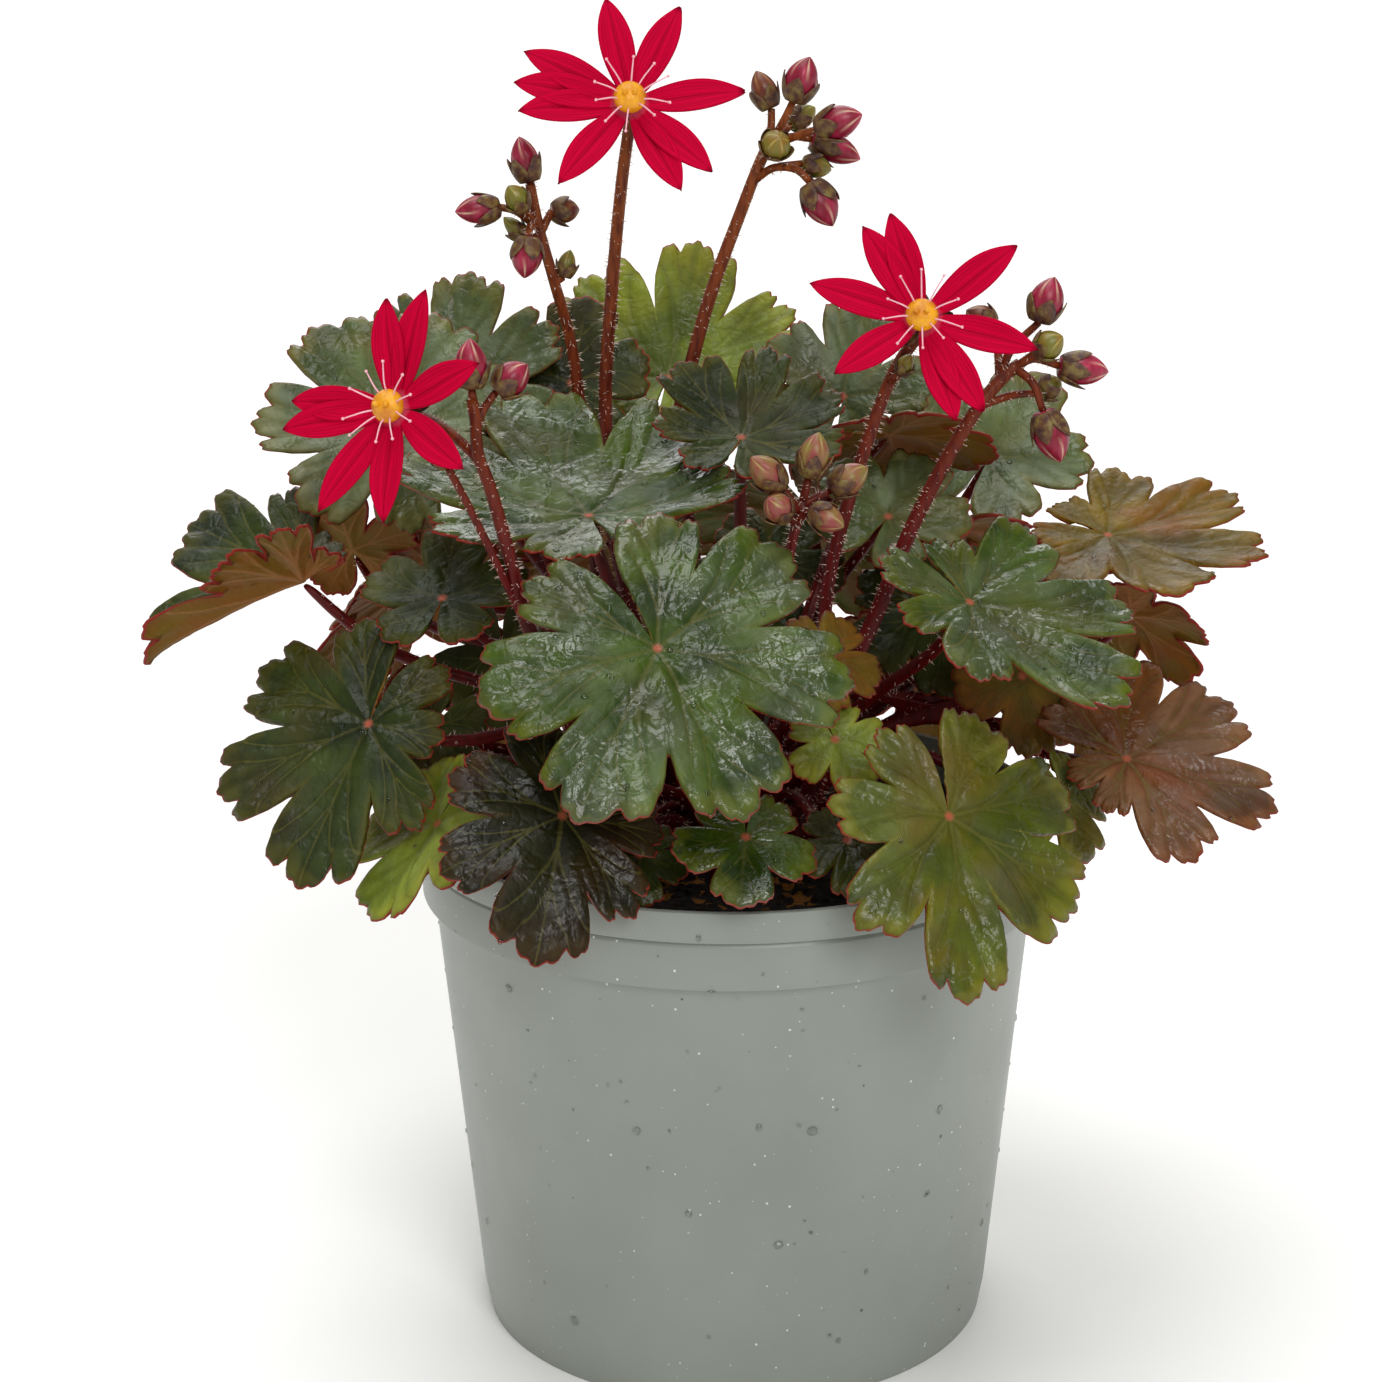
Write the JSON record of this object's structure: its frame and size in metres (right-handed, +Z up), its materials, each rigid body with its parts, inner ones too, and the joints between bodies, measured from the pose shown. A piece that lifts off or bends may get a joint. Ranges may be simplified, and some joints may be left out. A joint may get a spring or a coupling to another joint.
{
  "type": "potted saxifrage",
  "caption": "Flowering saxifrage with lobed bronze-green leaves, hairy red stalks, crimson star-shaped blooms and buds, growing in a tapered grey-green nursery pot.",
  "frame": {"origin": "middle of the pot's underside, on the surface it stands on", "axes": "+Z up, -Y towards the front of the plant, +X to the right seen from the front"},
  "size_m": [0.2277, 0.1739, 0.2751],
  "materials": {
    "pot": "satin grey-green moulded plastic, lightly marked and wet",
    "compost": "dark moist peat compost with bark crumbs",
    "crown": "red-brown hairy leaf stalks",
    "stalk": "crimson to orange-brown hairy flower stalks, with crimson and green buds",
    "leaf_green": "glossy wet dark green, veined, with a thin red edge",
    "leaf_bronze": "glossy bronze-red, veined, with a thin red edge",
    "petal": "soft crimson petal with fine darker veins",
    "flower_centre": "yellow ovary with pale pink stamens"
  },
  "bodies": {
    "root": {"pot": "pot", "compost": "compost", "crown": "crown", "bloom_stalk_top": "stalk", "spray_top_left": "stalk", "spray_top_right": "stalk", "spray_left": "stalk", "bloom_stalk_right": "stalk", "spray_right": "stalk", "spray_centre": "stalk", "bloom_top": "petal", "bloom_top_centre": "flower_centre", "bloom_left": "petal", "bloom_left_centre": "flower_centre", "bloom_right": "petal", "bloom_right_centre": "flower_centre", "leaf_01": "leaf_green", "leaf_02": "leaf_green", "leaf_03": "leaf_green", "leaf_04": "leaf_green", "leaf_05": "leaf_green", "leaf_06": "leaf_bronze", "leaf_07": "leaf_green", "leaf_08": "leaf_green", "leaf_09": "leaf_bronze", "leaf_10": "leaf_green", "leaf_11": "leaf_green", "leaf_12": "leaf_green", "leaf_13": "leaf_green", "leaf_14": "leaf_green", "leaf_15": "leaf_green", "leaf_16": "leaf_green", "leaf_17": "leaf_green", "leaf_18": "leaf_green", "leaf_19": "leaf_bronze", "leaf_20": "leaf_green", "leaf_21": "leaf_bronze", "leaf_22": "leaf_bronze", "leaf_23": "leaf_green", "leaf_24": "leaf_bronze", "leaf_25": "leaf_bronze", "leaf_26": "leaf_bronze", "leaf_27": "leaf_green", "leaf_28": "leaf_green", "leaf_29": "leaf_green", "leaf_30": "leaf_green", "leaf_31": "leaf_green", "leaf_32": "leaf_green", "leaf_33": "leaf_green", "leaf_34": "leaf_bronze", "leaf_35": "leaf_bronze", "leaf_36": "leaf_green", "leaf_37": "leaf_green", "leaf_38": "leaf_green", "leaf_39": "leaf_green", "leaf_40": "leaf_green", "leaf_41": "leaf_green", "leaf_42": "leaf_green", "leaf_43": "leaf_bronze", "leaf_44": "leaf_green"}
  },
  "joints": []
}
